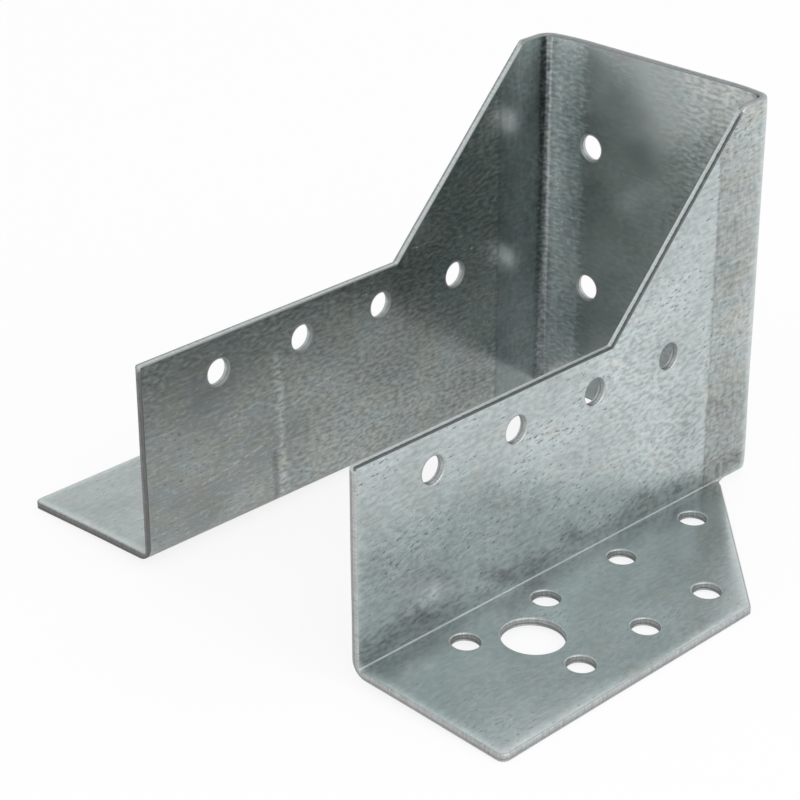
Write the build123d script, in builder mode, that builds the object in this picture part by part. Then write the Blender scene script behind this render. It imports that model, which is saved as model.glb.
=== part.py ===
from build123d import *
import os

# Joist hanger with outward header flanges, folded from one galvanised sheet, in millimetres.
# It lies on its flanges: X runs across the joist, Y from the open end to the seat, and Z up off the header.
# The origin is the middle of the footprint on the header plane.

# sheet and folds
sheet = 1.5
seat_bend_inside = 3.5
flange_bend_inside = 1.2
flange_bend_outside = 3.2
corner_round = 1.5

# channel that holds the joist
channel_width = 51.0
overall_length = 105.0
seat_depth = 75.0
strip_depth = 40.0
taper_setback = 9.0
taper_run = 34.0
seat_lift = 1.5

# header flanges
flange_width = 32.0
flange_setback = 10.5
flange_slant_run = 32.0

# nail and bolt sizes, and the least sheet between a row's last hole and the slant or bend past it
nail_hole = 5.0
bolt_hole = 11.0
row_end_land = 6.0

# nail rows in the cheeks
cheek_row_start = 17.5
cheek_row_edge = 7.0
cheek_row_pitch = 20.0

# two nail rows and one bolt hole in each flange, from the open end and the cheek's outer face
inner_row_start = 19.0
inner_row_offset = 6.0
inner_row_pitch = 20.0
outer_row_start = 28.0
outer_row_offset = 23.5
outer_row_pitch = 16.5
bolt_start = 28.5
bolt_offset = 12.5

# four nail holes in the seat
seat_hole_spacing = 29.0
seat_hole_rise = 29.0
seat_hole_foot = 25.5

# how far a cutting tool runs past the sheet
overrun = 5.0

# worked-out places
inner_face = channel_width / 2
outer_face = inner_face + sheet
flange_edge = outer_face + flange_width
open_end = -overall_length / 2
seat_back = overall_length / 2
seat_front = seat_back - sheet
seat_bend_outside = seat_bend_inside + sheet
taper_end = seat_back - taper_setback
strip_end = taper_end - taper_run
slant_foot = seat_back - flange_setback
slant_start = slant_foot - flange_slant_run
slant_slope = flange_slant_run / flange_width
slant_end = slant_foot + sheet * slant_slope
seat_holes_middle = seat_hole_foot + seat_hole_rise / 2


def row_places(first, last, pitch):
    """Count and middle of a row of holes that starts at first and goes no further than last."""
    count = int((last - first) // pitch) + 1
    return count, first + pitch * (count - 1) / 2


cheek_row_height = strip_depth - cheek_row_edge
cheek_row_count, cheek_row_middle = row_places(
    open_end + cheek_row_start, seat_back - seat_bend_outside - row_end_land, cheek_row_pitch
)
inner_row_count, inner_row_middle = row_places(
    open_end + inner_row_start,
    slant_foot - inner_row_offset * slant_slope - row_end_land,
    inner_row_pitch,
)
outer_row_count, outer_row_middle = row_places(
    open_end + outer_row_start,
    slant_foot - outer_row_offset * slant_slope - row_end_land,
    outer_row_pitch,
)


def flange_plan(side):
    """Plan of one flange with its fold: square at the open end, cut on a slant at the seat end."""
    with BuildSketch(Plane.XY) as plan:
        with BuildLine():
            Polyline(
                (side * inner_face, open_end),
                (side * flange_edge, open_end),
                (side * flange_edge, slant_start),
                (side * inner_face, slant_end),
                close=True,
            )
        make_face()
    return plan.sketch


def flange_section(side):
    """Section through one flange and its fold: sharp crease above, round bend below."""
    with BuildSketch(Plane.XZ.offset(-slant_end)) as section:
        with BuildLine():
            Polyline(
                (side * inner_face, flange_bend_outside),
                (side * outer_face, flange_bend_outside),
                (side * outer_face, sheet + flange_bend_inside),
            )
            TangentArc(
                (side * outer_face, sheet + flange_bend_inside),
                (side * (outer_face + flange_bend_inside), sheet),
                tangent=(0, -1),
            )
            Polyline(
                (side * (outer_face + flange_bend_inside), sheet),
                (side * flange_edge, sheet),
                (side * flange_edge, 0),
                (side * (inner_face + flange_bend_outside), 0),
            )
            TangentArc(
                (side * (inner_face + flange_bend_outside), 0),
                (side * inner_face, flange_bend_outside),
                tangent=(-side, 0),
            )
        make_face()
    return section.sketch


def make_flange(side):
    """One header flange with its fold and its holes."""
    with BuildPart() as flange:
        extrude(flange_section(side), amount=slant_end - open_end)
        extrude(flange_plan(side), amount=flange_bend_outside, mode=Mode.INTERSECT)
        outer_corners = flange.edges().filter_by(Axis.Z).filter_by_position(
            Axis.X, side * flange_edge - sheet / 2, side * flange_edge + sheet / 2
        )
        fillet(outer_corners, corner_round)
        with BuildSketch(Plane.XY):
            with Locations((side * (outer_face + inner_row_offset), inner_row_middle)):
                with GridLocations(0, inner_row_pitch, 1, inner_row_count):
                    Circle(nail_hole / 2)
            with Locations((side * (outer_face + outer_row_offset), outer_row_middle)):
                with GridLocations(0, outer_row_pitch, 1, outer_row_count):
                    Circle(nail_hole / 2)
            with Locations((side * (outer_face + bolt_offset), open_end + bolt_start)):
                Circle(bolt_hole / 2)
        extrude(amount=sheet, mode=Mode.SUBTRACT)
    return flange.part


right_flange = make_flange(1)
left_flange = make_flange(-1)

with BuildPart() as joist_hanger:
    # U-shaped channel, seat and both cheeks, with its lower edge just off the header
    with BuildSketch(Plane.XY.offset(seat_lift)) as channel_plan:
        with Locations((0, (open_end + seat_back) / 2)):
            Rectangle(2 * outer_face, overall_length)
        fillet(channel_plan.vertices().group_by(Axis.Y)[-1], seat_bend_outside)
        with BuildLine():
            FilletPolyline(
                (-inner_face, open_end - overrun),
                (-inner_face, seat_front),
                (inner_face, seat_front),
                (inner_face, open_end - overrun),
                radius=seat_bend_inside,
            )
            Line((inner_face, open_end - overrun), (-inner_face, open_end - overrun))
        make_face(mode=Mode.SUBTRACT)
    extrude(amount=seat_depth - seat_lift)

    # cheeks sheared down to the narrow strip, with a straight taper up to the seat
    with BuildSketch(Plane.YZ.offset(-outer_face - overrun)) as side_shear:
        with BuildLine():
            Polyline(
                (open_end - overrun, strip_depth),
                (strip_end, strip_depth),
                (taper_end, seat_depth),
                (taper_end, seat_depth + overrun),
                (open_end - overrun, seat_depth + overrun),
                close=True,
            )
        make_face()
    extrude(amount=2 * (outer_face + overrun), mode=Mode.SUBTRACT)
    taper_tops = joist_hanger.edges().filter_by(Axis.X).filter_by_position(
        Axis.Z, seat_depth - sheet / 2, seat_depth + sheet / 2
    )
    fillet(taper_tops.sort_by(Axis.Y)[:2], corner_round)

    # the cheeks stop above each fold, and the flanges carry on from there
    extrude(flange_plan(1), amount=flange_bend_outside, mode=Mode.SUBTRACT)
    extrude(flange_plan(-1), amount=flange_bend_outside, mode=Mode.SUBTRACT)
    add(right_flange)
    add(left_flange)

    # nail holes through both cheeks
    with BuildSketch(Plane.YZ.offset(-outer_face - overrun)):
        with Locations((cheek_row_middle, cheek_row_height)):
            with GridLocations(cheek_row_pitch, 0, cheek_row_count, 1):
                Circle(nail_hole / 2)
    extrude(amount=2 * (outer_face + overrun), mode=Mode.SUBTRACT)

    # nail holes through the seat
    with BuildSketch(Plane.XZ.offset(-seat_back - overrun)):
        with Locations((0, seat_holes_middle)):
            with GridLocations(seat_hole_spacing, seat_hole_rise, 2, 2):
                Circle(nail_hole / 2)
    extrude(amount=sheet + 2 * overrun, mode=Mode.SUBTRACT)

joist_hanger.part.label = "joist_hanger"

os.makedirs("parts", exist_ok=True)
export_step(joist_hanger.part, "parts/joist_hanger.step")
print("joist_hanger", len(joist_hanger.solids()), "solid", round(joist_hanger.part.volume), "mm3")
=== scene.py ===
import math

import bpy
import numpy as np
from mathutils import Matrix, Vector
from mathutils.geometry import delaunay_2d_cdt


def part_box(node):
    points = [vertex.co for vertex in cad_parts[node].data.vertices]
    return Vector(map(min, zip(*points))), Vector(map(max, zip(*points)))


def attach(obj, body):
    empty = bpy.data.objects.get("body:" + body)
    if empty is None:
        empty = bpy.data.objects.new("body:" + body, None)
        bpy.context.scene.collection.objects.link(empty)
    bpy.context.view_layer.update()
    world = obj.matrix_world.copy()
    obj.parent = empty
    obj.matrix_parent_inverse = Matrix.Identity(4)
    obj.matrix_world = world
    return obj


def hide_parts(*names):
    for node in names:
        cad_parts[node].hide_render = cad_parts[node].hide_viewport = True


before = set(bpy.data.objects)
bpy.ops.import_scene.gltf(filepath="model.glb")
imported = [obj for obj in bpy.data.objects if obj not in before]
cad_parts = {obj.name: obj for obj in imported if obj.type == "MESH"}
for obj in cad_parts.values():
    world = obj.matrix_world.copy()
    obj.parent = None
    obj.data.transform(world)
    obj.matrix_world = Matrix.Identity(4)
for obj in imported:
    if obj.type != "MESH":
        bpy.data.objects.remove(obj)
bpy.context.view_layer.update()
print("frame loaded")

# The camera, from where the photograph was taken. Angles in degrees, places in metres.
cameraView = {
    "azimuth": 44.895,
    "elevation": 26.376,
    "roll": -0.271,
    "distance": 0.436378,
    "target": (-0.007104, -0.008429, 0.024504),
    "focalPixels": 2439.126,
    "framePixels": 800,
    "sensorWidth": 36.0,
    "clipStart": 0.01,
}


def makeCamera(v):
    azimuth, elevation, roll = (math.radians(v[k]) for k in ("azimuth", "elevation", "roll"))
    away = Vector((
        math.sin(azimuth) * math.cos(elevation),
        -math.cos(azimuth) * math.cos(elevation),
        math.sin(elevation),
    ))
    level = Vector((math.cos(azimuth), math.sin(azimuth), 0))
    above = away.cross(level)
    rightward = level * math.cos(roll) + above * math.sin(roll)
    upward = above * math.cos(roll) - level * math.sin(roll)
    data = bpy.data.cameras.new("camera")
    data.sensor_width = v["sensorWidth"]
    data.lens = v["focalPixels"] * v["sensorWidth"] / v["framePixels"]
    data.clip_start = v["clipStart"]
    camera = bpy.data.objects.new("camera", data)
    turned = Matrix((rightward, upward, away)).transposed().to_4x4()
    turned.translation = Vector(v["target"]) + away * v["distance"]
    camera.matrix_world = turned
    bpy.context.scene.collection.objects.link(camera)
    bpy.context.scene.camera = camera


makeCamera(cameraView)

# The sheet, in millimetres. The overall width, length and height come from the frame.
sheetSizes = {
    "sheet": 1.5,
    "seatBendInside": 3.5,
    "seatDie": 16.4,         # the seat is flat this far from its middle
    "seatBow": 11.5,         # degrees that it turns between there and its bend
    "foldInside": 0.32,      # crease between cheek and flange
    "foldOutside": 3.2,
    "foldReach": 4.7,        # height at which the cheek starts to fold
    "springNear": 1.4,       # how far the crease has sprung up at the open end
    "springFar": 0.5,        # and at the flange's other end
    "flangeWidth": 32.0,
    "stripDepth": 40.0,
    "taperSetback": 9.0,
    "taperRun": 34.0,
    "seatLift": 1.5,
    "flangeSetback": 10.5,
    "flangeSlantRun": 32.0,
    "outerRound": 1.5,       # flange corners and the tops of the tapers
    "sharpRound": 0.45,      # corners left sharp by the shear
    "notchRound": 1.2,       # where the flange's slant meets the seat's lower edge
    "foldFade": 4.0,         # how far past the notch the fold dies out
}

# Where on the fold's way the underside's round and the crease's begin, and where the crease's ends.
foldShares = {
    "roundStart": 0.12,
    "creaseStart": 0.3,
    "creaseEnd": 0.8,
}

# Punched holes, in millimetres. Rows start from the open end and lie off the cheek or below the strip's top.
holeRows = {
    "nail": 5.0,             # diameters
    "bolt": 11.0,
    "cheek": {"start": 17.5, "pitch": 20.0, "count": 4, "fromStripTop": 7.0},
    "inner": {"start": 19.0, "pitch": 20.0, "count": 4, "fromCheek": 6.0},
    "outer": {"start": 28.0, "pitch": 16.5, "count": 3, "fromCheek": 23.5},
    "boltPlace": {"start": 28.5, "fromCheek": 12.5},
    "seat": {"spacing": 29.0, "foot": 25.5, "rise": 29.0},
}

# The sheared edge, from the inner face to the outer one: a small burr, a torn band, a burnished band and
# a round lip. The outer face falls towards it.
edgeShape = {
    "inset": 0.32,           # how far the flat faces stop short of the cut
    "burrRadius": 0.10,
    "burrAngles": (0, 30, 60, 90),
    "tearEnd": 0.55,
    "tearDepth": 0.05,
    "holeTearDepth": 0.13,
    "tearRagged": 0.025,
    # share of the tear's depth and place through the sheet
    "tearRows": ((0.6, 0.16), (1.3, 0.30), (1.0, 0.47)),
    "lipRadius": 0.30,
    "lipAngles": (0, 18, 36, 54, 72),
    "dropWidth": 2.2,        # how far in from an edge the outer face starts to fall
    "drop": 0.15,
    "dropPower": 2.5,
    "holeDropWidth": 0.7,
    "holeDrop": 0.06,
    "holeDropPower": 2,
    "innerShare": 0.3,       # how much of that fall the inner face has
    "topReach": 1.5,         # strips and tapers were cut the other way round, and it changes over this length
}

# How the blank is divided, and how far it is from flat.
meshDetail = {
    "flatStep": 1.3,
    "bendStep": 0.3,
    "edgeStep": 0.8,
    "holeStep": 0.33,
    "bendMargin": 0.3,       # how far the short steps run past a bend or a fold
    "foldMargin": 0.4,
    "ringGaps": (0.55, 0.95),   # rings of points beside each edge
    "ringKeep": 0.9,         # share of its gap that a ring's point keeps from every edge
    "gridGap": 1.35,         # and how far the plain grid keeps off
    "arcPoints": 7,
    "finePoints": 400,       # for lengths that are summed up
    "pathPoints": 4000,
    "linePoints": 6000,
    "batch": 200,            # how many targets are compared with all points at once, to spare memory
    "mergeDistance": 1e-7,
    "waveHeight": 0.12,
    "waveCount": 14,
    "waveLengths": (18, 60),
    "waveFade": 10,          # the waves die out this far from the fold
    "seed": 7,
}

mm = 0.001
uvPerMm = 0.01               # one unit of the UV map is 100 mm of sheet
outerFaceShift = 300         # the outer face and the cuts lie beside the inner face on that map
cutShift = 600
print("values read")


# Places that follow from the frame's box and the sizes above.
def workOutPlaces(s, low, high):
    p = {
        "openEnd": low.y / mm,
        "seatBack": high.y / mm,
        "flangeEdge": high.x / mm,
        "top": high.z / mm,
    }
    p["outerFace"] = p["flangeEdge"] - s["flangeWidth"]
    p["innerFace"] = p["outerFace"] - s["sheet"]
    p["bendCentre"] = p["seatBack"] - s["sheet"] - s["seatBendInside"]
    middleRadius = s["seatBendInside"] + s["sheet"] / 2
    p["cheekStart"] = p["innerFace"] - s["seatBendInside"] + middleRadius * math.pi / 2
    bow = math.radians(s["seatBow"])
    middleBack = p["seatBack"] - s["sheet"] / 2
    # Length of the bow and radius of the bend that leave the cheek where a plain quarter circle would put it.
    # The bow's own width and depth come from the first terms of the series for its sine and cosine.
    widthTerms = [1 - bow ** 2 / 6, 1 - math.sin(bow)]
    lengthTerms = [bow / 2 - 1, math.cos(bow) + bow - math.pi / 2]
    width = p["innerFace"] + s["sheet"] / 2 - s["seatDie"]
    length = s["seatDie"] + middleBack - p["bendCentre"] - p["cheekStart"]
    bowLength, radius = np.linalg.solve([widthTerms, lengthTerms], [width, length])
    p["bendStart"] = s["seatDie"] + bowLength
    p["bendEnd"] = p["bendStart"] + radius * (math.pi / 2 - bow)
    walk = np.linspace(0, p["bendEnd"], meshDetail["pathPoints"])
    turn = np.interp(walk, [s["seatDie"], p["bendStart"], p["bendEnd"]], [0, bow, math.pi / 2])
    step = walk[1]
    between = (turn[1:] + turn[:-1]) / 2
    pathX = np.concatenate([[0], np.cumsum(np.cos(between) * step)])
    pathY = middleBack - np.concatenate([[0], np.cumsum(np.sin(between) * step)])
    p["path"] = (walk, turn, pathX, pathY)
    p["taperEnd"] = p["seatBack"] - s["taperSetback"]
    p["stripEnd"] = p["taperEnd"] - s["taperRun"]
    p["slantFoot"] = p["seatBack"] - s["flangeSetback"]
    p["slantStart"] = p["slantFoot"] - s["flangeSlantRun"]
    p["flangeStart"] = p["innerFace"] + s["foldOutside"]
    p["foldTop"] = s["foldReach"]
    p["foldFoot"] = p["foldTop"] - s["foldOutside"] * math.pi / 2
    p["flangeRun"] = p["flangeEdge"] - p["flangeStart"]
    slope = s["flangeSlantRun"] / s["flangeWidth"]
    p["notchY"] = p["slantFoot"] - slope * (p["flangeStart"] - p["outerFace"] - s["seatLift"] + p["foldFoot"])
    return p


places = workOutPlaces(sheetSizes, *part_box("joist_hanger"))


def alongOf(y):
    return places["cheekStart"] + places["bendCentre"] - y


def upOf(x):
    return places["foldFoot"] - (x - places["flangeStart"])


# Folds the blank. Along runs round the channel from the middle of the seat. Up is the height, which carries
# on through the fold and out over the flange. Depth goes from the inner face to the outer one.
# The plan is the sheet's middle line, summed up from its direction, plus depth across it: straight, a slight
# bow, a bend and a straight. The fold's underside is a large quarter circle and its crease a small one, each
# after a short drop, and depth mixes the two. The crease has sprung up a little, and the flange slopes down
# from it.
def foldSheet(along, up, depth):
    s, p = sheetSizes, places
    side = np.where(along < 0, -1.0, 1.0)
    distance = np.abs(along)
    walk, turns, pathX, pathY = p["path"]
    turn = np.interp(distance, walk, turns)
    offMiddle = depth - s["sheet"] / 2
    x = np.interp(distance, walk, pathX) + offMiddle * np.sin(turn)
    y = np.interp(distance, walk, pathY) + offMiddle * np.cos(turn) - np.maximum(distance - p["bendEnd"], 0)
    spring = np.interp(y, [p["openEnd"], p["slantFoot"]], [s["springNear"], s["springFar"]])
    share = np.clip((p["foldTop"] - up) / (p["foldTop"] - p["foldFoot"]), 0, 1)
    beyond = np.maximum(p["foldFoot"] - up, 0)

    # a drop from the fold's top, then a quarter circle outwards down to the given height
    def quarterRound(face, foot, radius, start, end):
        turned = np.clip((share - start) / (end - start), 0, 1) * math.pi / 2
        drop = (p["foldTop"] - foot - radius - spring) * np.clip(share / start, 0, 1)
        return face + radius * (1 - np.cos(turned)), p["foldTop"] - drop - radius * np.sin(turned)

    start, end = foldShares["creaseStart"], foldShares["creaseEnd"]
    roundX, roundZ = quarterRound(p["innerFace"], 0, s["foldOutside"], foldShares["roundStart"], 1)
    creaseX, creaseZ = quarterRound(p["outerFace"], s["sheet"], s["foldInside"], start, end)
    out = np.clip((share - end) / (1 - end), 0, 1)
    creaseX = creaseX + out * (p["flangeStart"] - p["outerFace"] - s["foldInside"])
    through = depth / s["sheet"]
    foldedX = roundX * (1 - through) + creaseX * through + beyond
    foldedZ = roundZ * (1 - through) + creaseZ * through - spring * beyond / p["flangeRun"]
    fade = np.clip((p["notchY"] + s["foldFade"] - y) / s["foldFade"], 0, 1)
    fade = np.where(up < p["foldTop"], fade * fade * (3 - 2 * fade), 0)
    x = x + (foldedX - x) * fade
    z = up + (foldedZ - up) * fade
    return np.stack([side * x, y, z], -1)


# Rounds the corners of a closed outline. Each corner becomes the arc that touches both of its sides, and the
# straight runs between arcs are walked in steps of about the given length, shorter where they cross a bend.
def roundedOutline(corners, radii, stepAt):
    before, after = np.roll(corners, 1, 0), np.roll(corners, -1, 0)
    inward = (before - corners) / np.linalg.norm(before - corners, axis=1)[:, None]
    onward = (after - corners) / np.linalg.norm(after - corners, axis=1)[:, None]
    half = np.arccos(np.clip((inward * onward).sum(1), -1, 1)) / 2
    middle = inward + onward
    middle /= np.linalg.norm(middle, axis=1)[:, None]
    centre = corners + middle * (radii / np.sin(half))[:, None]
    first = corners + inward * (radii / np.tan(half))[:, None] - centre
    last = corners + onward * (radii / np.tan(half))[:, None] - centre
    swing = np.arctan2(first[:, 0] * last[:, 1] - first[:, 1] * last[:, 0], (first * last).sum(1))
    walk = np.linspace(0, 1, meshDetail["arcPoints"])[None, :] * swing[:, None]
    arcs = np.stack([
        centre[:, :1] + first[:, :1] * np.cos(walk) - first[:, 1:] * np.sin(walk),
        centre[:, 1:] + first[:, :1] * np.sin(walk) + first[:, 1:] * np.cos(walk),
    ], -1)
    pieces = []
    fineShare = np.linspace(0, 1, meshDetail["finePoints"])
    for k in range(len(corners)):
        start, end = arcs[k, -1], arcs[(k + 1) % len(corners), 0]
        fine = start + (end - start) * fineShare[:, None]
        length = np.linalg.norm(end - start)
        density = np.concatenate([[0], np.cumsum(length / (len(fineShare) - 1) / stepAt(fine[1:]))])
        count = max(2, int(math.ceil(density[-1])))
        share = np.interp(np.linspace(0, density[-1], count + 1)[1:-1], density, fineShare)
        pieces += [arcs[k], start + (end - start) * share[:, None]]
    return np.concatenate(pieces)


# Outward direction at each point of a loop: across the line from its neighbour behind to its neighbour ahead.
def loopNormals(loop, hole=False):
    ahead = np.roll(loop, -1, 0) - np.roll(loop, 1, 0)
    ahead /= np.linalg.norm(ahead, axis=1)[:, None]
    normal = np.stack([ahead[:, 1], -ahead[:, 0]], -1)
    area = (loop[:, 0] * np.roll(loop[:, 1], -1) - np.roll(loop[:, 0], -1) * loop[:, 1]).sum()
    return normal * (1 if area > 0 else -1) * (-1 if hole else 1)


# Short steps inside the seat bends and the flange folds, and the given step elsewhere.
def stepNear(points, plain):
    p, d = places, meshDetail
    distance, up = np.abs(points[:, 0]), points[:, 1]
    inBend = (distance > p["bendStart"] - d["bendMargin"]) & (distance < p["bendEnd"] + d["bendMargin"])
    inFold = (up < p["foldTop"] + d["foldMargin"]) & (up > p["foldFoot"] - d["foldMargin"])
    return np.where(inBend | inFold & (distance > p["bendEnd"]), d["bendStep"], plain)


# The flat blank's outline, right half listed and left half as its mirror image.
def blankOutline():
    s, p = sheetSizes, places
    sharp, outer = s["sharpRound"], s["outerRound"]
    half = np.array([
        (alongOf(p["notchY"]), s["seatLift"], s["notchRound"]),
        (alongOf(p["slantStart"]), upOf(p["flangeEdge"]), outer),
        (alongOf(p["openEnd"]), upOf(p["flangeEdge"]), outer),
        (alongOf(p["openEnd"]), s["stripDepth"], sharp),
        (alongOf(p["stripEnd"]), s["stripDepth"], sharp),
        (alongOf(p["taperEnd"]), p["top"], outer),
    ])
    mirrored = half[::-1] * (-1, 1, 1)
    corners = np.concatenate([half, mirrored])
    return roundedOutline(corners[:, :2], corners[:, 2], lambda q: stepNear(q, meshDetail["edgeStep"]))


# Centres and diameters of all the holes on the blank.
def blankHoles():
    r, p = holeRows, places
    found = []
    for row, up in (
        ("cheek", sheetSizes["stripDepth"] - r["cheek"]["fromStripTop"]),
        ("inner", upOf(p["outerFace"] + r["inner"]["fromCheek"])),
        ("outer", upOf(p["outerFace"] + r["outer"]["fromCheek"])),
    ):
        y = p["openEnd"] + r[row]["start"] + r[row]["pitch"] * np.arange(r[row]["count"])
        found += [(alongOf(v), up, r["nail"]) for v in y]
    bolt = r["boltPlace"]
    found.append((alongOf(p["openEnd"] + bolt["start"]), upOf(p["outerFace"] + bolt["fromCheek"]), r["bolt"]))
    seat = r["seat"]
    found += [(seat["spacing"] / 2, seat["foot"] + lift, r["nail"]) for lift in (0, seat["rise"])]
    right = np.array(found)
    return np.concatenate([right, right * (-1, 1, 1)])


# A smooth random height between 0 and 1 over the blank: a sum of sines of random direction and length.
def softWaves(along, up):
    d = meshDetail
    draw = np.random.default_rng(d["seed"])
    total = np.zeros_like(along)
    for _ in range(d["waveCount"]):
        length = draw.uniform(*d["waveLengths"])
        direction = draw.uniform(0, math.pi)
        phase = draw.uniform(0, 2 * math.pi)
        reach = along * math.cos(direction) + up * math.sin(direction)
        total += np.sin(reach * 2 * math.pi / length + phase)
    return np.clip(0.5 + total / d["waveCount"], 0, 1)


# Distance from each point to the nearest target.
def nearestDistance(points, targets):
    best = np.full(len(points), np.inf)
    for part in np.array_split(targets, max(1, len(targets) // meshDetail["batch"])):
        gap = np.linalg.norm(points[:, None, :] - part[None, :, :], axis=2).min(1)
        best = np.minimum(best, gap)
    return best


# Divides a stretch into steps that are short inside the given zones: the running sum of 1 / step, cut evenly.
def steppedLine(low, high, zones, plain, fine):
    walk = np.linspace(low, high, meshDetail["linePoints"])
    step = np.full(len(walk), plain)
    for zoneLow, zoneHigh in zones:
        step[(walk > zoneLow) & (walk < zoneHigh)] = fine
    share = np.concatenate([[0], np.cumsum(np.diff(walk) / step[1:])])
    return np.interp(np.linspace(0, share[-1], int(math.ceil(share[-1])) + 1), share, walk)


# Whether points lie in a hole, or closer to one than the margin.
def inHoles(points, holes, margin=0.0):
    found = np.zeros(len(points), bool)
    for centreAlong, centreUp, diameter in holes:
        found |= np.hypot(points[:, 0] - centreAlong, points[:, 1] - centreUp) < diameter / 2 + margin
    return found


# The blank as flat triangles. Its outline and holes are drawn in by the inset, and a grid fills the rest.
def meshBlank():
    p, e, d = places, edgeShape, meshDetail
    outline = blankOutline()
    holes = blankHoles()
    loops = [(outline, loopNormals(outline))]
    for centreAlong, centreUp, diameter in holes:
        count = int(round(math.pi * diameter / d["holeStep"]))
        # clockwise, so that the wall of a hole faces into it
        angle = -np.linspace(0, 2 * math.pi, count, endpoint=False)
        ring = np.stack([np.cos(angle), np.sin(angle)], -1)
        loops.append((np.array([centreAlong, centreUp]) + ring * diameter / 2, -ring))
    edgePoints = np.concatenate([loop for loop, _ in loops])

    # grid lines, closer together in the bends and folds
    limit = outline[:, 0].max()
    bend = (p["bendStart"] - d["bendMargin"], p["bendEnd"] + d["bendMargin"])
    fold = (p["foldFoot"] - d["foldMargin"], p["foldTop"] + d["foldMargin"])
    alongs = steppedLine(-limit, limit, [bend, (-bend[1], -bend[0])], d["flatStep"], d["bendStep"])
    ups = steppedLine(outline[:, 1].min(), p["top"], [fold], d["flatStep"], d["bendStep"])
    grid = np.stack(np.meshgrid(alongs, ups, indexing="ij"), -1).reshape(-1, 2)

    # rings that run beside each edge, so that the fall towards it is smooth
    rings = [(loop - normal * gap, gap) for loop, normal in loops for gap in d["ringGaps"]]
    rings = [ring[nearestDistance(ring, edgePoints) > gap * d["ringKeep"]] for ring, gap in rings]
    keep = nearestDistance(grid, edgePoints) > d["gridGap"]
    inside = np.concatenate([grid[keep]] + rings)
    inside = inside[insideLoop(inside, outline)]
    inside = inside[~inHoles(inside, holes)]

    drawn = [loop - normal * e["inset"] for loop, normal in loops]
    given = np.concatenate(drawn + [inside])
    edges, first = [], 0
    for loop in drawn:
        ids = first + np.arange(len(loop))
        edges.append(np.stack([ids, np.roll(ids, -1)], -1))
        first += len(loop)
    # the 1 asks for triangles inside the outline alone
    flatPoints = [Vector(q) for q in given.tolist()]
    made = delaunay_2d_cdt(flatPoints, np.concatenate(edges).tolist(), [], 1, d["mergeDistance"])
    points = np.array([tuple(q) for q in made[0]])
    triangles = np.array(made[2])
    newIds = np.zeros(len(given), int)
    for newId, oldIds in enumerate(made[3]):
        newIds[oldIds] = newId
    middles = points[triangles].mean(1)
    triangles = triangles[~inHoles(middles, holes, e["inset"]) & insideLoop(middles, outline)]
    starts = np.cumsum([0] + [len(loop) for loop in drawn])
    rims = [
        (loop, normal, newIds[starts[k]:starts[k + 1]])
        for k, (loop, normal) in enumerate(loops)
    ]
    return points, triangles, rims


# Even-odd test of points against a closed outline: counts the sides crossed by a ray to the right.
def insideLoop(points, loop):
    following = np.roll(loop, -1, 0)
    crossings = np.zeros(len(points), int)
    for part in np.array_split(np.arange(len(loop)), max(1, len(loop) // meshDetail["batch"])):
        a, b = loop[part][None], following[part][None]
        level = points[:, None, 1]
        straddles = (a[..., 1] > level) != (b[..., 1] > level)
        climb = np.where(b[..., 1] == a[..., 1], 1, b[..., 1] - a[..., 1])
        meet = a[..., 0] + (level - a[..., 1]) * (b[..., 0] - a[..., 0]) / climb
        crossings += (straddles & (points[:, None, 0] < meet)).sum(1)
    return crossings % 2 == 1


# How far a face lies under its flat place: the fall beside sheared edges, as a power of how near the edge is.
def edgeFall(points, rims):
    e = edgeShape
    outer = nearestDistance(points, rims[0][0])
    hole = nearestDistance(points, np.concatenate([loop for loop, _, _ in rims[1:]]))
    outerShare = np.clip(1 - outer / e["dropWidth"], 0, 1)
    holeShare = np.clip(1 - hole / e["holeDropWidth"], 0, 1)
    fall = e["drop"] * outerShare ** e["dropPower"] + e["holeDrop"] * holeShare ** e["holeDropPower"]
    return fall, outer


# Shift of the whole sheet from flat, inwards on the channel and upwards on the flange, and nil at the fold.
def sheetShift(points):
    p, d = places, meshDetail
    height = d["waveHeight"] * softWaves(points[:, 0], points[:, 1])
    overFold = np.clip((points[:, 1] - p["foldTop"]) / d["waveFade"], 0, 1)
    underFold = np.clip((p["foldFoot"] - points[:, 1]) / d["waveFade"], 0, 1)
    return height * (underFold - overFold)


# Profile of the sheared edge, as (outward, depth) rows from the inner face to the outer one: a quarter circle
# for the burr, straight bands, and most of a quarter circle for the lip.
def edgeProfile(tear):
    e, sheet = edgeShape, sheetSizes["sheet"]
    burr, lip = np.radians(e["burrAngles"]), np.radians(e["lipAngles"])
    burrRows = np.stack([e["burrRadius"] * (np.sin(burr) - 1), e["burrRadius"] * (1 - np.cos(burr))], -1)
    bandRows = np.array([(-tear * share, depth) for share, depth in e["tearRows"]] + [(0, e["tearEnd"])])
    lipRows = np.stack([e["lipRadius"] * (np.cos(lip) - 1), sheet - e["lipRadius"] * (1 - np.sin(lip))], -1)
    return np.concatenate([burrRows, bandRows, lipRows])


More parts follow.
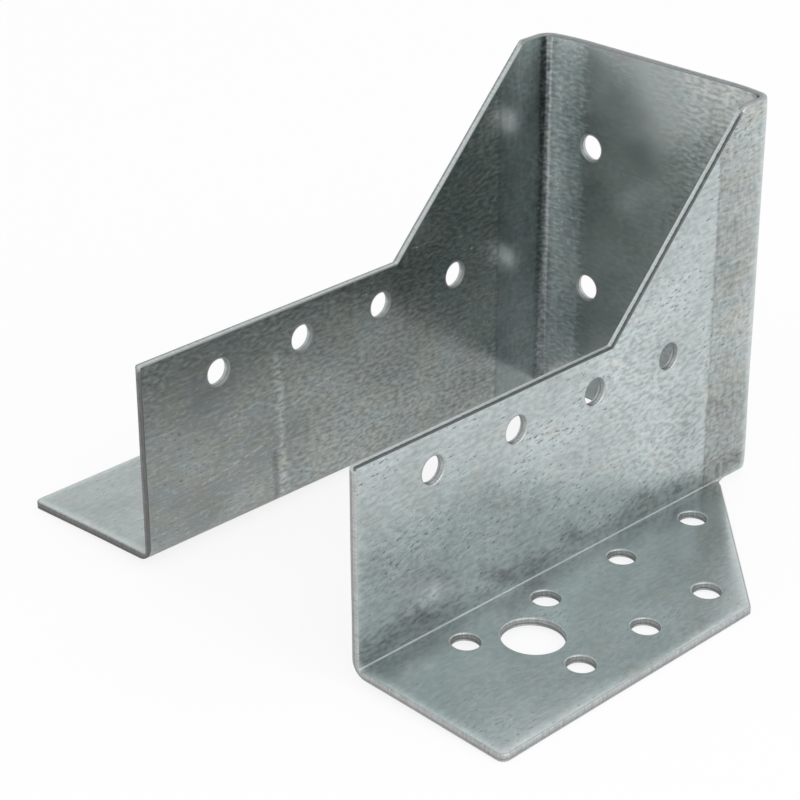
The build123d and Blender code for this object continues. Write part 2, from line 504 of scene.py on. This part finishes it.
# The whole sheet as one closed mesh: both faces from the same flat triangles, joined by the edge profile
# carried round the outline and every hole.
def buildSheet():
    sheet = sheetSizes["sheet"]
    points, triangles, rims = meshBlank()
    fall, edgeDistance = edgeFall(points, rims)
    shift = sheetShift(points)
    count = len(points)
    positions, flat, place = [], [], []
    marks = {"acrossEdge": [], "fromEdge": [], "holeRim": [], "topRim": []}

    # adds points: along and up, depth once bent, level for the patterns, place on the map, and marks
    def addPoints(line, depth, level, onMap, *values):
        positions.append(foldSheet(line[:, 0], line[:, 1], depth))
        flat.append(onMap)
        place.append(np.column_stack([line, np.full(len(line), level)]))
        for label, value in zip(marks, values):
            marks[label].append(np.full(len(line), value))

    addPoints(points, shift + fall * edgeShape["innerShare"], 0, points, 1, edgeDistance, 0, 0)
    addPoints(points, sheet + shift - fall, sheet, points + (0, outerFaceShift), 0, edgeDistance, 0, 0)
    faces = [triangles[:, ::-1], triangles + count]
    total = 2 * count
    quads = []
    rough = np.random.default_rng(meshDetail["seed"] + 1)
    for number, (loop, normal, ids) in enumerate(rims):
        n = len(loop)
        reach = edgeShape["topReach"]
        overEnd = (loop[:, 1] - sheetSizes["stripDepth"]) / reach + 1
        onTop = np.clip(np.minimum(overEnd, (places["top"] - loop[:, 1]) / reach), 0, 1) * (number == 0)
        loopShift = shift[ids]
        tearDepth = edgeShape["holeTearDepth" if number else "tearDepth"]
        rows = [ids]
        tear = rough.normal(0, 1, n)
        tear = (tear + np.roll(tear, 1) + np.roll(tear, -1)) / 3
        length = np.concatenate([[0], np.cumsum(np.linalg.norm(np.diff(loop, axis=0), axis=1))])
        for outward, depth in edgeProfile(tearDepth):
            inTear = edgeShape["burrRadius"] < depth < edgeShape["tearEnd"]
            ragged = edgeShape["tearRagged"] * np.abs(tear) * inTear
            line = loop + normal * (outward - ragged)[:, None]
            sink = fall[ids] * (edgeShape["innerShare"] * (1 - depth / sheet) - depth / sheet)
            onMap = np.column_stack([length, np.full(n, depth + cutShift)])
            crossed = onTop * depth / sheet + (1 - onTop) * (1 - depth / sheet)
            addPoints(line, depth + loopShift + sink, depth, onMap, crossed, 0, number > 0, onTop)
            rows.append(total + np.arange(n))
            total += n
        rows.append(ids + count)
        for a, b in zip(rows[:-1], rows[1:]):
            quads.append(np.stack([a, np.roll(a, -1), np.roll(b, -1), b], -1))
    positions, faces, quads, flat, place = map(np.concatenate, (positions, faces, quads, flat, place))
    marks = {label: np.concatenate(values) for label, values in marks.items()}
    return positions * mm, faces, quads, flat * uvPerMm, place, marks


# Puts the arrays into a mesh, turns it right side out, and smooths it with normals weighted by face area.
def sheetObject(name):
    positions, triangles, quads, flat, place, marks = buildSheet()
    # the sum of the tetrahedra from the origin to each face is negative where the faces look inwards
    volume = 0
    for faces, a, b, c in ((triangles, 0, 1, 2), (quads, 0, 1, 2), (quads, 0, 2, 3)):
        corners = positions[faces]
        volume += np.einsum("ij,ij->", corners[:, a], np.cross(corners[:, b], corners[:, c])) / 6
    print("sheet volume, mm3:", round(abs(volume) / mm ** 3), "triangles:", len(triangles) + 2 * len(quads))
    if volume < 0:
        triangles, quads = triangles[:, ::-1], quads[:, ::-1]
    mesh = bpy.data.meshes.new(name)
    mesh.vertices.add(len(positions))
    mesh.vertices.foreach_set("co", positions.ravel())
    loopVertices = np.concatenate([triangles.ravel(), quads.ravel()])
    mesh.loops.add(len(loopVertices))
    mesh.loops.foreach_set("vertex_index", loopVertices)
    sizes = np.concatenate([np.full(len(triangles), 3), np.full(len(quads), 4)])
    mesh.polygons.add(len(sizes))
    mesh.polygons.foreach_set("loop_start", np.concatenate([[0], np.cumsum(sizes)[:-1]]))
    mesh.polygons.foreach_set("material_index", (sizes == 4).astype(int))
    mesh.update(calc_edges=True)
    mesh.validate()
    uv = mesh.uv_layers.new(name="blank")
    uv.data.foreach_set("uv", flat[loopVertices].astype(np.float32).ravel())
    onBlank = mesh.attributes.new("onBlank", "FLOAT_VECTOR", "POINT")
    onBlank.data.foreach_set("vector", place.astype(np.float32).ravel())
    for label, values in marks.items():
        mesh.attributes.new(label, "FLOAT", "POINT").data.foreach_set("value", values.astype(np.float32))
    mesh.polygons.foreach_set("use_smooth", np.ones(len(sizes), bool))
    normals = np.zeros_like(positions)
    # the cross product of two sides or of both diagonals is as long as twice the area
    for faces, ends in ((triangles, (0, 1, 0, 2)), (quads, (0, 2, 1, 3))):
        a, b, c, e = (positions[faces[:, k]] for k in ends)
        facing = np.cross(b - a, e - c)
        for column in faces.T:
            np.add.at(normals, column, facing)
    normals /= np.maximum(np.linalg.norm(normals, axis=1), np.finfo(float).tiny)[:, None]
    mesh.normals_split_custom_set_from_vertices(normals)
    piece = bpy.data.objects.new(name, mesh)
    bpy.context.scene.collection.objects.link(piece)
    return piece


sheetPiece = sheetObject("folded_sheet")
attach(sheetPiece, "root")
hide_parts("joist_hanger")
print("sheet folded")


# Adds a shader node. Values may be numbers, colours or the sockets of other nodes.
def addNode(tree, kind, values=None, **settings):
    made = tree.nodes.new("ShaderNode" + kind)
    for key, value in settings.items():
        setattr(made, key, value)
    fillInputs(tree, made, values or {})
    return made


def fillInputs(tree, node, values):
    for socket, value in values.items():
        if isinstance(value, bpy.types.NodeSocket):
            tree.links.new(value, node.inputs[socket])
        else:
            node.inputs[socket].default_value = value


def sums(tree, operation, first, second=0.0, third=0.0):
    return addNode(tree, "Math", {0: first, 1: second, 2: third}, operation=operation).outputs[0]


# The product of two values or more.
def times(tree, *values):
    product = values[0]
    for value in values[1:]:
        product = sums(tree, "MULTIPLY", product, value)
    return product


# The base plus so much of a value.
def plus(tree, base, value, amount):
    return sums(tree, "MULTIPLY_ADD", value, amount, base)


# What a share leaves of 1.
def rest(tree, share):
    return sums(tree, "SUBTRACT", 1.0, share)


# How far a value is from a place, either way.
def offBy(tree, value, place):
    return sums(tree, "ABSOLUTE", sums(tree, "SUBTRACT", value, place))


# Rises from 0 to 1 as the value goes from low to high, with soft ends.
def rise(tree, value, low, high):
    values = {"Value": value, "From Min": low, "From Max": high}
    return addNode(tree, "MapRange", values, interpolation_type="SMOOTHSTEP").outputs["Result"]


def blend(tree, factor, first, second):
    return addNode(tree, "Mix", {0: factor, 6: first, 7: second}, data_type="RGBA").outputs[2]


def blendValue(tree, factor, first, second):
    return addNode(tree, "Mix", {0: factor, 2: first, 3: second}, data_type="FLOAT").outputs[0]


def vectors(tree, operation, values, output=0):
    return addNode(tree, "VectorMath", values, operation=operation).outputs[output]


def attribute(tree, name, output="Fac"):
    return addNode(tree, "Attribute", attribute_name=name).outputs[output]


def startMaterial(name):
    material = bpy.data.materials.new(name)
    material.use_nodes = True
    tree = material.node_tree
    return material, tree, tree.nodes["Principled BSDF"]


# Sets a metal on the shader: its colour times its tone, and its roughness.
def finishMetal(tree, shader, metal, tone, rough):
    toned = vectors(tree, "SCALE", {0: metal, "Scale": tone})
    tree.links.new(toned, shader.inputs["Base Color"])
    shader.inputs["Metallic"].default_value = 1
    tree.links.new(rough, shader.inputs["Roughness"])


def startGroup(name, inputs, output):
    group = bpy.data.node_groups.new(name, "ShaderNodeTree")
    for label, kind, value in inputs:
        socket = group.interface.new_socket(label, in_out="INPUT", socket_type="NodeSocket" + kind)
        if value is not None:
            socket.default_value = value
    group.interface.new_socket(output, in_out="OUTPUT", socket_type="NodeSocketFloat")
    return group, group.nodes.new("NodeGroupInput").outputs, group.nodes.new("NodeGroupOutput").inputs


def useGroup(tree, group, values):
    made = tree.nodes.new("ShaderNodeGroup")
    made.node_tree = group
    fillInputs(tree, made, values)
    return made.outputs[0]


# What the patterns of the coat and the cut share.
patternShape = {
    "noiseMiddle": 0.5,
    "noiseGain": 4.0,        # brings the noise to between about -1 and 1
    "speckDetail": 1.5,
    "speckGather": 0.45,     # how far Gather lifts the specks past their level
    "speckBorder": 0.5,
    "markGone": -0.8,        # where Broken is this low, a mark is gone, and from the next on it is whole
    "markWhole": 0.3,
}


# Soft patches about nought, as long and as wide as given, in millimetres of the blank.
def makePatches(v):
    group, given, out = startGroup("zincPatches", [
        ("Place", "Vector", None), ("Length", "Float", 1.0), ("Width", "Float", 1.0),
        ("Detail", "Float", 1.0),
    ], "Value")
    size = addNode(group, "CombineXYZ", {"X": given["Length"], "Y": given["Width"], "Z": given["Width"]})
    scaled = vectors(group, "DIVIDE", {0: given["Place"], 1: size.outputs[0]})
    noise = addNode(group, "TexNoise", {"Vector": scaled, "Scale": 1.0, "Detail": given["Detail"]})
    centred = sums(group, "SUBTRACT", noise.outputs[0], v["noiseMiddle"])
    group.links.new(times(group, centred, v["noiseGain"]), out["Value"])
    return group


# Specks where patches rise past a level. They lie at a slight tilt, and there are more where Gather is high.
def makeSpecks(v):
    group, given, out = startGroup("zincSpecks", [
        ("Place", "Vector", None), ("Length", "Float", 1.0), ("Width", "Float", 0.4),
        ("Level", "Float", 0.6), ("Gather", "Float", 0.0), ("Tilt", "Float", 0.12),
    ], "Mask")
    tilting = {"Vector": given["Place"], "Angle": given["Tilt"]}
    turned = addNode(group, "VectorRotate", tilting, rotation_type="Z_AXIS").outputs[0]
    small = useGroup(group, patches, {
        "Place": turned, "Length": given["Length"], "Width": given["Width"], "Detail": v["speckDetail"],
    })
    raised = plus(group, small, given["Gather"], v["speckGather"])
    above = sums(group, "ADD", given["Level"], v["speckBorder"])
    group.links.new(rise(group, raised, given["Level"], above), out["Mask"])
    return group


# A mark along the line between two points of the blank, strongest on the line and gone at the given width
# from it. Where Broken is low, it fades. It draws scratches, and painted highlight, shade and reflection.
def makeScratchAndPaintedLight(v):
    group, given, out = startGroup("softScratchAndPaintedLight", [
        ("Place", "Vector", None), ("Start", "Vector", (0.0, 0.0, 0.0)), ("End", "Vector", (1.0, 0.0, 0.0)),
        ("Width", "Float", 0.3), ("Broken", "Float", 0.0),
    ], "Mask")
    along = vectors(group, "SUBTRACT", {0: given["End"], 1: given["Start"]})
    reach = vectors(group, "SUBTRACT", {0: given["Place"], 1: given["Start"]})
    dot = vectors(group, "DOT_PRODUCT", {0: reach, 1: along}, "Value")
    square = vectors(group, "DOT_PRODUCT", {0: along, 1: along}, "Value")
    share = addNode(group, "Math", {0: dot, 1: square}, operation="DIVIDE", use_clamp=True).outputs[0]
    nearest = vectors(group, "SCALE", {0: along, "Scale": share})
    gap = vectors(group, "DISTANCE", {0: reach, 1: nearest}, "Value")
    inside = rise(group, gap, given["Width"], 0.0)
    whole = rise(group, given["Broken"], v["markGone"], v["markWhole"])
    group.links.new(times(group, inside, whole), out["Mask"])
    return group


patches = makePatches(patternShape)
specks = makeSpecks(patternShape)
scratchAndPaintedLight = makeScratchAndPaintedLight(patternShape)

# The zinc coat, and the light and shade painted on it. Lengths in millimetres of the blank; amounts are
# shares of the metal's brightness.
zincCoat = {
    "coolMetal": (0.475, 0.528, 0.528, 1),
    "warmMetal": (0.510, 0.530, 0.500, 1),
    "outsideCool": 0.8,      # how far the outer face leans to the cool colour
    "darkSideCool": 0.7,     # and the left half's inner face, from the die's mark to the middle of the seat
    "stripWarm": 0.7,        # and how far the outer strips lean back
    "faceGap": 40.0,         # stretches depth, so that the two faces get patterns of their own
    "clouds": (17, 13, 2),   # length, width and detail of the patches
    "warmths": (7, 4, 2),
    "streaks": (9, 0.6, 1),
    "mottles": (1.45, 0.68, 4),
    "scuffs": (0.8, 3.0, 1),
    "speckSize": (1.25, 0.48),
    "mottleSpan": 0.9,
    "speckLevel": 0.56,
    "speckTilt": 0.15,
    "cloudAmount": 0.16,
    "streakAmount": 0.07,
    "scuffAmount": 0.10,
    "insideShade": 0.08,      # the inner face is darker as painted shade inside the channel, and blotched, and the outer one has dark specks
    "mottleInside": 0.26,
    "mottleOutside": 0.145,
    "specksInside": 0.28,
    "specksOutside": 0.62,
    "flangeCalm": 0.40,      # how much of the pattern the flanges lose
    "seatCalm": 0.70,        # and the left half of the seat
    "stripCalm": 0.62,       # and the inner strips beside it
    "stripSpecks": 0.55,     # share of the specks that is left between the die's marks
    "cheekDie": 39.2,        # where the bending die pressed on the cheeks, from the middle of the seat
    "dieWidth": 0.7,
    "dieDark": 0.14,
    "dieWander": 0.25,       # how far the borders of the die's marks stray
    "stripDarkOutside": 0.25,
    "stripDarkInside": 0.15,
    "stripFading": 0.7,      # how much of its dark an outer strip loses towards the bend
    "bendLight": 0.06,       # the first part of the bend, next to the seat
    "bendShade": 0.36,        # painted shade on the inner face of all the rest of the bend
    "bendOutside": 0.09,     # its whole outer face
    "bandLight": 0.29,       # the inner face of the seat's bowed part, on the left half
    "seatDark": 0.07,
    # a painted highlight on the flanges, within this reach of their outline
    "edgeReach": 2.3,
    "edgeHighlight": 0.37,
    "flangeLight": 0.05,
    "creaseReach": 4.5,      # how far up the cheek's outer face painted shade reaches above the crease
    "creaseFoot": 1.0,       # and how far under the fold's top it is darkest
    "creaseShade": 0.25,
    "creaseCloud": 1.5,      # how far the clouds and the mottle push its border
    "creaseMottle": 0.6,
    "roughness": 0.24,
    "cloudRough": 0.03,
    "mottleRough": 0.03,
    "lowRoughness": 0.07,    # added where the cheek's outer face is low
}

# Borders of the coat's regions, in millimetres from the place that the code names: where there is none of
# a region, and where it is whole.
coatBorders = {
    "outerFace": (0.4, 1.1),
    "flatSeat": (0.0, -1.5),
    "leftHalf": (12.0, 2.0),
    "withinDie": (0.3, -0.3),
    "pastBend": (-0.6, 0.6),
    "offSeat": (0.0, 1.0),
    "onBow": (-0.5, 1.0),
    "nextToCheek": (-3.2, -1.4),
    "lowCheek": (24.0, 10.0),
    "stripFade": (-2.0, -4.0),   # the first from the bend's end, the second from the die's mark
}

# Marks on the coat: thin scratches, and wider patches that are lighter or darker. Among them are a painted
# highlight and painted shade at a press crease on the left cheek's inner face, and a painted reflection of
# the flange's holes low on the right cheek's outer face. Each has its start and end on the blank, as (along,
# up, depth), how far it reaches from the line between them, and how much lighter it is.
coatMarksAndPaintedLight = [
    # a painted highlight along a faint press crease on the left cheek's inner face, and the painted shade
    # beside it
    ((-96.4, 2.0, 0), (-97.4, 31.0, 0), 1.8, 0.34),
    ((-98.2, 1.0, 0), (-98.6, 12.0, 0), 1.2, -0.30),
    ((-122.0, 5.0, 0), (-100.0, 13.0, 0), 16.0, -0.22),
    ((-132.0, 10.0, 0), (-112.0, 34.0, 0), 18.0, -0.20),
    ((-10.0, 74.0, 0), (-3.5, 58.0, 0), 9.0, -0.20),
    ((62.0, 38.0, 1.5), (48.0, 16.0, 1.5), 18.0, 0.15),
    # a painted reflection of the flange's holes, low on the right cheek's outer face
    ((117.0, 8.5, 1.5), (111.0, 10.0, 1.5), 2.6, 0.28),
    ((-116.0, 12.5, 0), (-98.5, 15.5, 0), 0.35, 0.30),
    ((-110.0, 23.0, 0), (-101.0, 24.0, 0), 0.35, 0.28),
    ((-94.0, 20.5, 0), (-84.0, 23.0, 0), 0.30, 0.24),
    ((-80.0, 8.0, 0), (-66.0, 10.5, 0), 0.30, 0.22),
    ((112.0, 30.0, 1.5), (104.0, 29.0, 1.5), 0.30, -0.16),
    ((88.0, 22.0, 1.5), (76.0, 20.5, 1.5), 0.28, 0.14),
]


def makeZinc(v, borders):
    material, tree, shader = startMaterial("galvanisedSheet")
    blank = attribute(tree, "onBlank", "Vector")
    apart = vectors(tree, "MULTIPLY", {0: blank, 1: (1.0, 1.0, v["faceGap"])})
    split = addNode(tree, "SeparateXYZ", {0: blank}).outputs
    distance = sums(tree, "ABSOLUTE", split["X"])
    up = split["Y"]
    fromEdge = attribute(tree, "fromEdge")

    def patch(length, width, detail):
        return useGroup(tree, patches, {"Place": apart, "Length": length, "Width": width, "Detail": detail})

    def border(name, value, place=0.0):
        none, whole = borders[name]
        return rise(tree, value, place + none, place + whole)

    cloud, warmth, streak, scuff = (patch(*v[kind]) for kind in ("clouds", "warmths", "streaks", "scuffs"))
    # blotches of two levels, with soft borders, from -1 to 1
    mottle = rise(tree, patch(*v["mottles"]), -v["mottleSpan"], v["mottleSpan"])
    mottle = plus(tree, -1.0, mottle, 2.0)
    dark = useGroup(tree, specks, {
        "Place": apart, "Length": v["speckSize"][0], "Width": v["speckSize"][1],
        "Level": v["speckLevel"], "Gather": cloud, "Tilt": v["speckTilt"],
    })

    # the regions of the sheet
    outside = border("outerFace", split["Z"])
    inside = rest(tree, outside)
    onFlange = rise(tree, up, places["foldTop"], places["foldFoot"])
    onCheek = rest(tree, onFlange)
    outerCheek = times(tree, onCheek, outside)
    onSeat = border("flatSeat", distance, sheetSizes["seatDie"])
    leftSide = border("leftHalf", split["X"])

    # die marks, the strips between them and the seat bends, the bends, and the bowed part of the seat
    wandering = plus(tree, distance, warmth, v["dieWander"])
    dieLine = rise(tree, offBy(tree, wandering, v["cheekDie"]), v["dieWidth"], 0.0)
    withinDie = border("withinDie", wandering, v["cheekDie"])
    pastBend = border("pastBend", distance, places["bendEnd"])
    beforeCheek = rest(tree, pastBend)
    strip = times(tree, withinDie, pastBend)
    offSeat = border("offSeat", distance, places["bendStart"])
    bend = times(tree, beforeCheek, offSeat)
    onBow = border("onBow", wandering, sheetSizes["seatDie"])
    bow = times(tree, onBow, rest(tree, offSeat))
    nextToCheek = border("nextToCheek", distance, (places["bendStart"] + places["bendEnd"]) / 2)

    # how strong the pattern is
    lively = plus(tree, 1.0, onFlange, -v["flangeCalm"])
    lively = plus(tree, lively, times(tree, onSeat, leftSide), -v["seatCalm"])
    lively = plus(tree, lively, times(tree, strip, inside), -v["stripCalm"])
    mottling = plus(tree, v["mottleInside"], outside, v["mottleOutside"] - v["mottleInside"])
    specking = plus(tree, -v["specksInside"], outside, v["specksInside"] - v["specksOutside"])
    specking = times(tree, specking, plus(tree, 1.0, withinDie, v["stripSpecks"] - 1.0))

    # outside, the strip's dark fades towards the bend
    fadeStart, fadeEnd = borders["stripFade"]
    fading = rise(tree, distance, places["bendEnd"] + fadeStart, v["cheekDie"] + fadeEnd)
    fading = plus(tree, 1.0 - v["stripFading"], fading, v["stripFading"])
    stripping = plus(tree, -v["stripDarkInside"], outside, v["stripDarkInside"] - v["stripDarkOutside"])
    stripping = times(tree, stripping, blendValue(tree, outside, 1.0, fading))

    # painted shade above the crease, with a ragged border
    ragged = plus(tree, plus(tree, up, mottle, v["creaseMottle"]), cloud, v["creaseCloud"])
    creaseShaded = rise(tree, ragged, places["foldTop"] + v["creaseReach"], places["foldTop"] - v["creaseFoot"])

    # painted shade: the inner face, inside the channel, is darker
    tone = plus(tree, 1.0 - v["insideShade"], outside, v["insideShade"])
    for value, amount in (
        (cloud, v["cloudAmount"]),
        (times(tree, streak, lively), v["streakAmount"]),
        (times(tree, mottle, lively), mottling),
        (times(tree, dark, lively), specking),
        (dieLine, -v["dieDark"]),
        (times(tree, strip, onCheek), stripping),
        (times(tree, bend, outside), v["bendOutside"]),
        (times(tree, bend, rest(tree, nextToCheek)), v["bendLight"]),
        # painted shade in the inside corner of the seat bend
        (times(tree, inside, beforeCheek, nextToCheek), -v["bendShade"]),
        (times(tree, bow, leftSide, inside), v["bandLight"]),
        (onSeat, -v["seatDark"]),
        (times(tree, sums(tree, "ADD", strip, bow), scuff), v["scuffAmount"]),
        # painted highlight on the flanges near their outline
        (times(tree, rise(tree, fromEdge, v["edgeReach"], 0.0), onFlange), v["edgeHighlight"]),
        (onFlange, v["flangeLight"]),
        # painted shade on the cheek's outer face above the crease
        (times(tree, creaseShaded, pastBend, outerCheek), -v["creaseShade"]),
    ):
        tone = plus(tree, tone, value, amount)
    for start, end, width, light in coatMarksAndPaintedLight:
        mark = {"Place": blank, "Start": start, "End": end, "Width": width, "Broken": mottle}
        tone = plus(tree, tone, useGroup(tree, scratchAndPaintedLight, mark), light)

    leaning = times(tree, outside, plus(tree, -v["outsideCool"], strip, v["stripWarm"]))
    leaning = plus(tree, leaning, times(tree, withinDie, leftSide, inside), -v["darkSideCool"])
    warm = rise(tree, sums(tree, "ADD", leaning, warmth), -1.0, 1.0)
    metal = blend(tree, warm, v["coolMetal"], v["warmMetal"])

    rough = plus(tree, v["roughness"], cloud, v["cloudRough"])
    rough = plus(tree, rough, times(tree, mottle, lively), v["mottleRough"])
    rough = plus(tree, rough, times(tree, border("lowCheek", up), outerCheek), v["lowRoughness"])
    finishMetal(tree, shader, metal, tone, rough)
    return material


# The sheared edge: a burnished part with fine lines across it, a dark line, and a torn part with no coat,
# whose dark colour is partly painted shade, with a lip whose colour is partly a painted highlight.
# Sizes in millimetres. Places across the cut are shares of the sheet, from its outer face, but from its inner
# one on the tops of strips and tapers.
shearedCut = {
    "burnish": (0.46, 0.48, 0.48, 1),
    "topBurnish": (0.62, 0.67, 0.67, 1),
    "endBurnish": (0.46, 0.47, 0.465, 1),
    "leftEndBurnish": (0.20, 0.205, 0.20, 1),
    "holeBurnish": (0.47, 0.50, 0.50, 1),
    "flangeHoleBurnish": (0.38, 0.40, 0.40, 1),
    # the torn part's dark colour is partly painted shade
    "tornAndShaded": (0.13, 0.14, 0.14, 1),
    "plainTear": 0.22,       # how far the torn part shows on all edges but the tops of strips and tapers
    "leftTearLoss": 0.6,     # how much less it shows on the left half's tops
    "tearStart": 0.60,
    "tearBorder": 0.04,
    "tearWander": 0.06,
    "darkLine": (0.07, 0.01),   # off its middle, where it is gone and where it is full
    # the round lip's own colour, which is partly a painted highlight along the rim
    "rim": (0.49, 0.51, 0.50, 1),
    "rimEnd": 0.12,
    "rimBorder": 0.08,
    "endBorder": (-0.6, -0.3),   # from the open end
    "leftBorder": (2.0, -2.0),   # from the middle of the seat
    "lineSize": (0.16, 3.0),
    "blotchSize": (1.3, 0.8),
    "pitSize": (0.35, 0.3),
    "pitLevel": 0.6,
    "lineLight": 0.24,
    "blotchLight": 0.08,
    "pitDark": 0.4,
    "darkLineAmount": 0.3,
    "roughness": 0.36,
    "tornRoughness": 0.5,
    "bumpHeight": 0.00004,
    "lineHeight": 0.25,
    "pitDepth": 0.6,
}


def makeCut(v):
    material, tree, shader = startMaterial("shearedEdge")
    split = addNode(tree, "SeparateXYZ", {0: attribute(tree, "onBlank", "Vector")}).outputs
    across, inHole, onTop = (attribute(tree, name) for name in ("acrossEdge", "holeRim", "topRim"))
    rim = addNode(tree, "UVMap", uv_map="blank").outputs["UV"]
    run = vectors(tree, "SCALE", {0: rim, "Scale": 1 / uvPerMm})

    def pattern(group, size, **others):
        return useGroup(tree, group, {"Place": run, "Length": size[0], "Width": size[1], **others})

    lines = pattern(patches, v["lineSize"])
    blotch = pattern(patches, v["blotchSize"])
    pits = pattern(specks, v["pitSize"], Level=v["pitLevel"], Gather=blotch, Tilt=0.0)
    edge = plus(tree, across, blotch, v["tearWander"])
    tornAndShaded = rise(tree, edge, v["tearStart"] - v["tearBorder"], v["tearStart"] + v["tearBorder"])
    line = rise(tree, offBy(tree, edge, v["tearStart"]), *v["darkLine"])
    lipAndHighlight = rise(tree, across, v["rimEnd"], v["rimEnd"] - v["rimBorder"])
    onFlange = rise(tree, split["Y"], places["foldTop"], places["foldFoot"])
    openEnd = alongOf(places["openEnd"])
    endNone, endWhole = v["endBorder"]
    atEnd = rise(tree, sums(tree, "ABSOLUTE", split["X"]), openEnd + endNone, openEnd + endWhole)
    onLeft = rise(tree, split["X"], *v["leftBorder"])

    nearEnds = blend(tree, onLeft, v["endBurnish"], v["leftEndBurnish"])
    onEdge = blend(tree, onTop, blend(tree, atEnd, v["burnish"], nearEnds), v["topBurnish"])
    onHole = blend(tree, onFlange, v["holeBurnish"], v["flangeHoleBurnish"])
    burnished = blend(tree, inHole, onEdge, onHole)
    topTear = times(tree, onTop, plus(tree, 1.0, onLeft, -v["leftTearLoss"]))
    shown = plus(tree, v["plainTear"], topTear, 1 - v["plainTear"])
    metal = blend(tree, times(tree, tornAndShaded, shown), burnished, v["tornAndShaded"])
    # the lip, partly a painted highlight along the rim
    metal = blend(tree, lipAndHighlight, metal, v["rim"])
    tone = plus(tree, 1.0, lines, v["lineLight"])
    tone = plus(tree, tone, blotch, v["blotchLight"])
    tone = plus(tree, tone, pits, -v["pitDark"])
    tone = plus(tree, tone, line, -v["darkLineAmount"])
    rough = plus(tree, v["roughness"], tornAndShaded, v["tornRoughness"] - v["roughness"])
    finishMetal(tree, shader, metal, tone, rough)
    height = plus(tree, times(tree, pits, -v["pitDepth"]), lines, v["lineHeight"])
    bump = addNode(tree, "Bump", {"Height": height, "Distance": v["bumpHeight"], "Strength": 1.0})
    tree.links.new(bump.outputs[0], shader.inputs["Normal"])
    return material


sheetPiece.data.materials.append(makeZinc(zincCoat, coatBorders))
sheetPiece.data.materials.append(makeCut(shearedCut))
print("zinc and cut edges made")


# The studio, in metres and watts: a pale floor, a white surround that is dimmer on the left, and a soft lamp
# low on the right.
studio = {
    "floorHalf": 3.0,
    "floorUnder": 0.00003,
    "floorColour": (0.94, 0.94, 0.94, 1),
    "floorWhite": 0.85,      # how much of the floor shows as plain white to the camera
    "floorGlow": 0.14,       # and in the metal
    "leftLevel": 0.70,
    "rightLevel": 1.08,
    "lampPlace": (0.95, -0.15, 0.6),
    "lampTarget": (0.15, 0.05, 0.0),
    "lampSize": 1.4,
    "lampPower": 4.5,
}


def makeStudio(v):
    scene = bpy.context.scene
    scene.view_settings.view_transform = "Standard"
    world = bpy.data.worlds.new("surround")
    scene.world = world
    world.use_nodes = True
    tree = world.node_tree
    direction = addNode(tree, "TexCoord").outputs["Generated"]
    sideways = addNode(tree, "SeparateXYZ", {0: direction}).outputs["X"]
    level = addNode(tree, "MapRange", {
        "Value": sideways, "From Min": -1.0, "From Max": 1.0,
        "To Min": v["leftLevel"], "To Max": v["rightLevel"],
    }).outputs["Result"]
    seen = addNode(tree, "LightPath").outputs["Is Camera Ray"]
    strength = blendValue(tree, seen, level, 1.0)
    background = tree.nodes["Background"]
    background.inputs["Color"].default_value = (1, 1, 1, 1)
    tree.links.new(strength, background.inputs["Strength"])

    lamp = bpy.data.lights.new("softLamp", "AREA")
    lamp.size = v["lampSize"]
    lamp.energy = v["lampPower"]
    lampObject = bpy.data.objects.new("softLamp", lamp)
    lampObject.location = v["lampPlace"]
    aim = Vector(v["lampTarget"]) - Vector(v["lampPlace"])
    lampObject.rotation_euler = aim.to_track_quat("-Z", "Y").to_euler()
    scene.collection.objects.link(lampObject)

    half, under = v["floorHalf"], -v["floorUnder"]
    mesh = bpy.data.meshes.new("floor")
    corners = [(-half, -half, under), (half, -half, under), (half, half, under), (-half, half, under)]
    mesh.from_pydata(corners, [], [(0, 1, 2, 3)])
    floor = bpy.data.objects.new("floor", mesh)
    scene.collection.objects.link(floor)
    material, tree, shader = startMaterial("paleFloor")
    shader.inputs["Base Color"].default_value = v["floorColour"]
    shader.inputs["Roughness"].default_value = 1
    shader.inputs["Specular IOR Level"].default_value = 0
    path = addNode(tree, "LightPath").outputs
    share = times(tree, path["Is Camera Ray"], v["floorWhite"])
    mirrored = sums(tree, "ADD", path["Is Glossy Ray"], path["Is Transmission Ray"])
    share = plus(tree, share, mirrored, v["floorGlow"])
    white = addNode(tree, "Emission", {"Color": (1, 1, 1, 1), "Strength": 1.0})
    mixed = addNode(tree, "MixShader", {0: share, 1: shader.outputs[0], 2: white.outputs[0]})
    tree.links.new(mixed.outputs[0], tree.nodes["Material Output"].inputs["Surface"])
    mesh.materials.append(material)


makeStudio(studio)
print("studio set")
